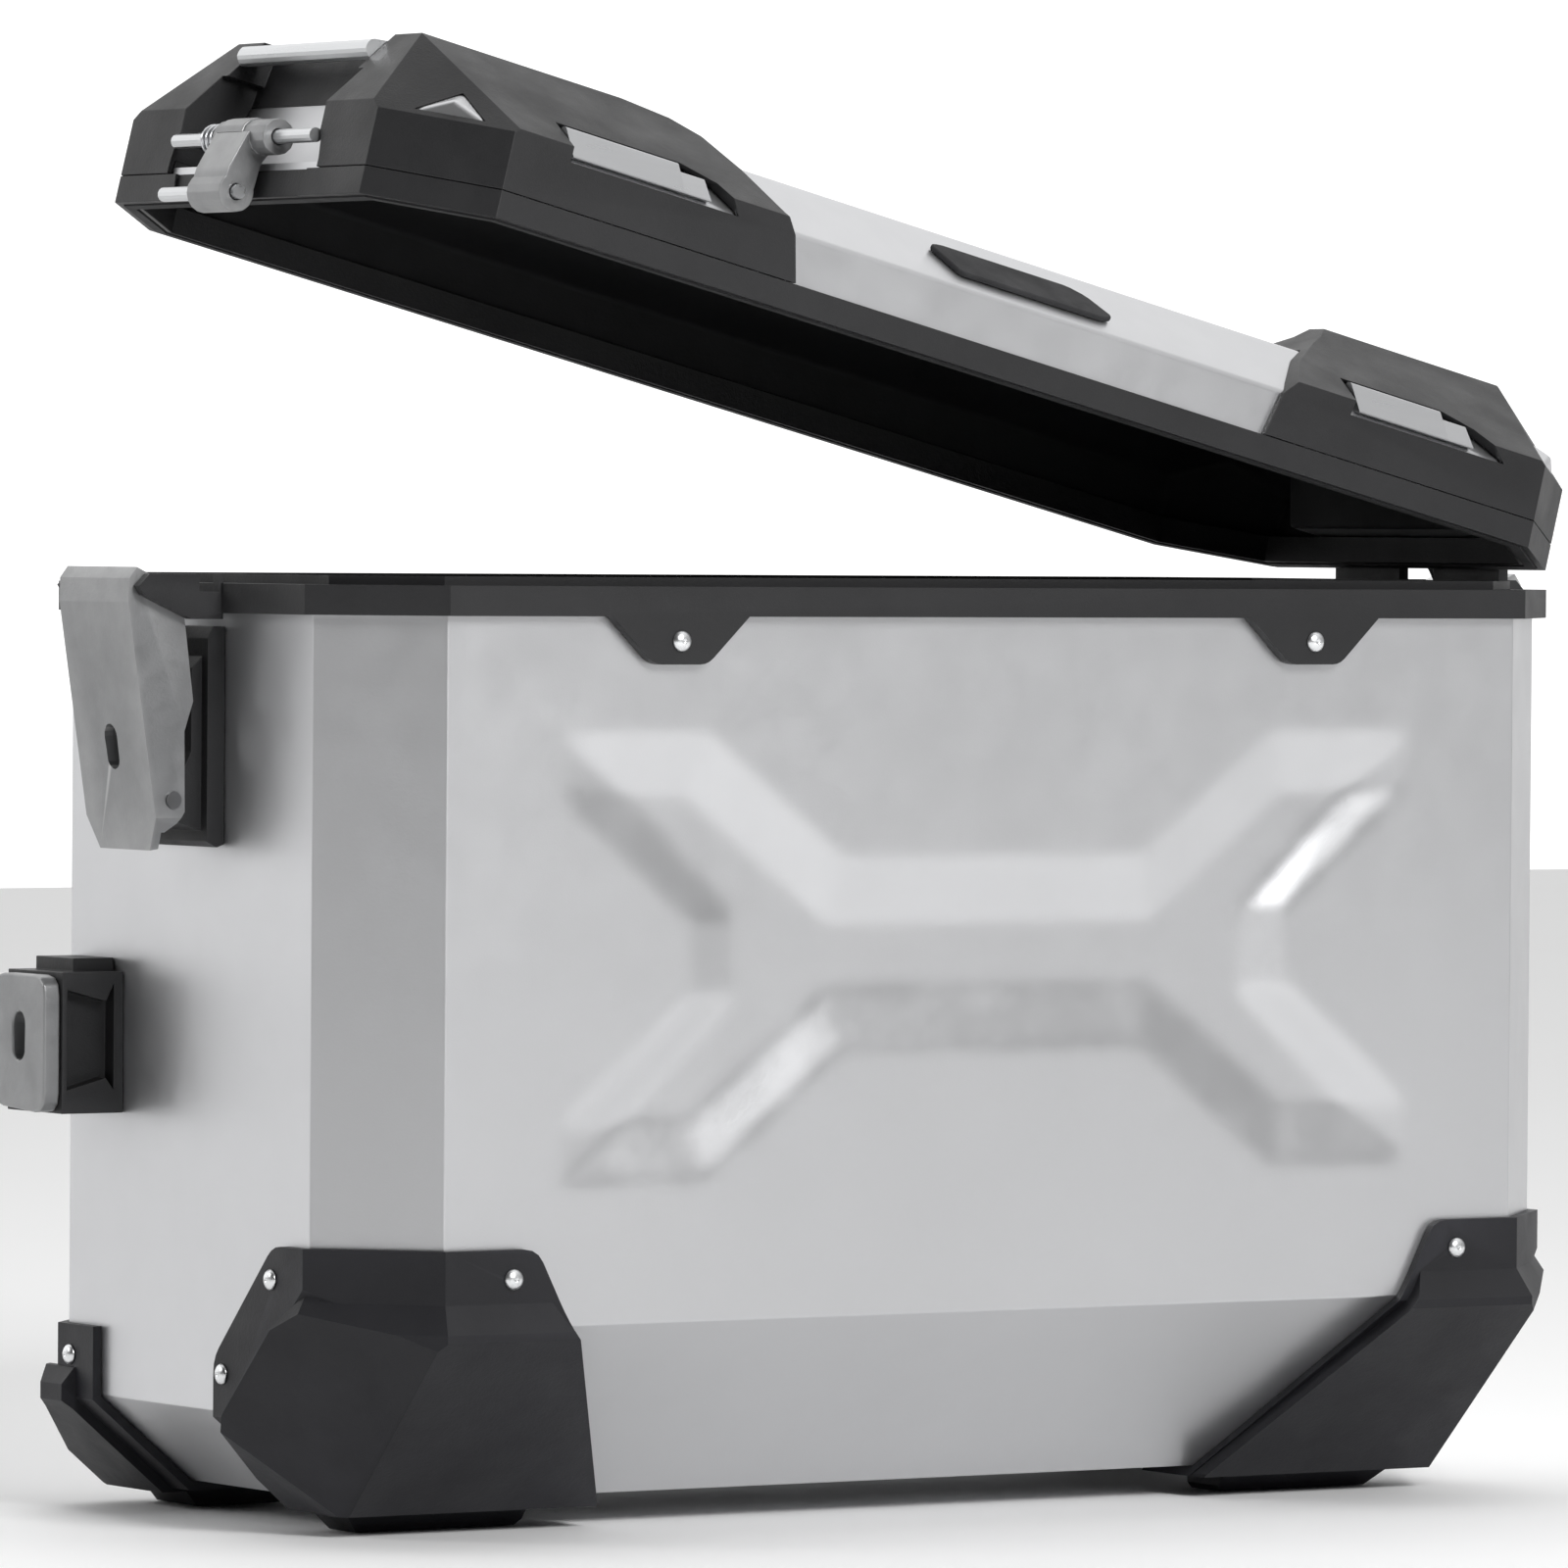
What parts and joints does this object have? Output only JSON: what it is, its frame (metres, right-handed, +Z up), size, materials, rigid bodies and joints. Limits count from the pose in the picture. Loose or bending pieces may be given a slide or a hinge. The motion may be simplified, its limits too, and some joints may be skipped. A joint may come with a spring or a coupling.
{
  "type": "hard motorcycle pannier",
  "caption": "Hard sheet-metal side case for a motorcycle, with moulded corner guards, end latches and a hinged lid with lashing bars, shown part open.",
  "frame": {"origin": "centre of the overall box, at the level of the feet", "axes": "+X along the case towards the end the lid turns on, -Y is the outer face with the pressed panel, +Z up"},
  "size_m": [0.5752, 0.2432, 0.5028],
  "materials": {
    "aluminium": "fine bead-blasted and anodised sheet",
    "black_plastic": "fine-grained moulded plastic",
    "guard_plastic": "matt moulded plastic",
    "cast_metal": "blasted die casting",
    "steel": "drawn and lightly polished",
    "rubber": "soft matt rubber"
  },
  "bodies": {
    "case": {"body_shell": "aluminium", "rim_frame": "black_plastic", "carrier_lock_base": "black_plastic", "carrier_lock_cap": "cast_metal", "latch_base_left": "black_plastic", "latch_base_right": "black_plastic", "latch_pin_left": "steel", "latch_pin_right": "steel", "guard_front_left": "guard_plastic", "guard_front_right": "guard_plastic", "guard_rear_left": "guard_plastic", "guard_rear_right": "guard_plastic", "rim_rivet_front_left": "steel", "rim_rivet_front_right": "steel", "rim_rivet_back_left": "steel", "rim_rivet_back_right": "steel", "guard_rivet_front_left": "steel", "guard_rivet_front_right": "steel", "guard_rivet_end_upper_left": "steel", "guard_rivet_end_upper_right": "steel", "guard_rivet_end_lower_left": "steel", "guard_rivet_end_lower_right": "steel", "guard_rivet_rear_end_left": "steel", "guard_rivet_rear_end_right": "steel", "guard_rivet_rear_left": "steel", "guard_rivet_rear_right": "steel"},
    "lid": {"lid_panel": "aluminium", "lid_frame": "black_plastic", "lid_gasket": "rubber", "lid_cap_left": "black_plastic", "lid_cap_right": "black_plastic", "tie_bar_end_left": "steel", "tie_bar_end_right": "steel", "lid_pad_front": "rubber", "lid_pad_rear": "rubber", "catch_bar_left": "steel", "catch_bar_right": "steel", "hinge_catch": "cast_metal", "hinge_pin": "steel", "catch_spring": "steel", "tie_bar_front_left": "steel", "tie_bar_front_right": "steel", "tie_bar_rear_left": "steel", "tie_bar_rear_right": "steel"},
    "catch": {"catch_hook": "cast_metal", "catch_pin": "steel"},
    "lever_left": {"latch_lever_left": "cast_metal"},
    "lever_right": {"latch_lever_right": "cast_metal"},
    "lock_core": {"carrier_lock_core": "steel"}
  },
  "joints": [
    {"name": "lid_hinge", "type": "hinge", "parent": "case", "child": "lid", "pos_m": [0.2775, 0.0014, 0.311], "axis": [0, 1, 0], "range_deg": [-14.1, 38]},
    {"name": "catch_swing", "type": "hinge", "parent": "lid", "child": "catch", "pos_m": [-0.22998, 0.0014, 0.46827], "axis": [0, 1, 0], "range_deg": [0, 45], "stiffness_Nm_per_rad": 0.06},
    {"name": "lever_left_hinge", "type": "hinge", "parent": "case", "child": "lever_left", "pos_m": [-0.27, 0.0014, 0.246], "axis": [0, 1, 0], "range_deg": [-35, 8]},
    {"name": "lever_right_hinge", "type": "hinge", "parent": "case", "child": "lever_right", "pos_m": [0.27, 0.0014, 0.246], "axis": [0, 1, 0], "range_deg": [0, 35]},
    {"name": "carrier_lock_turn", "type": "hinge", "parent": "case", "child": "lock_core", "pos_m": [-0.268, 0.0644, 0.164], "axis": [1, 0, 0], "range_deg": [0, 90]}
  ]
}
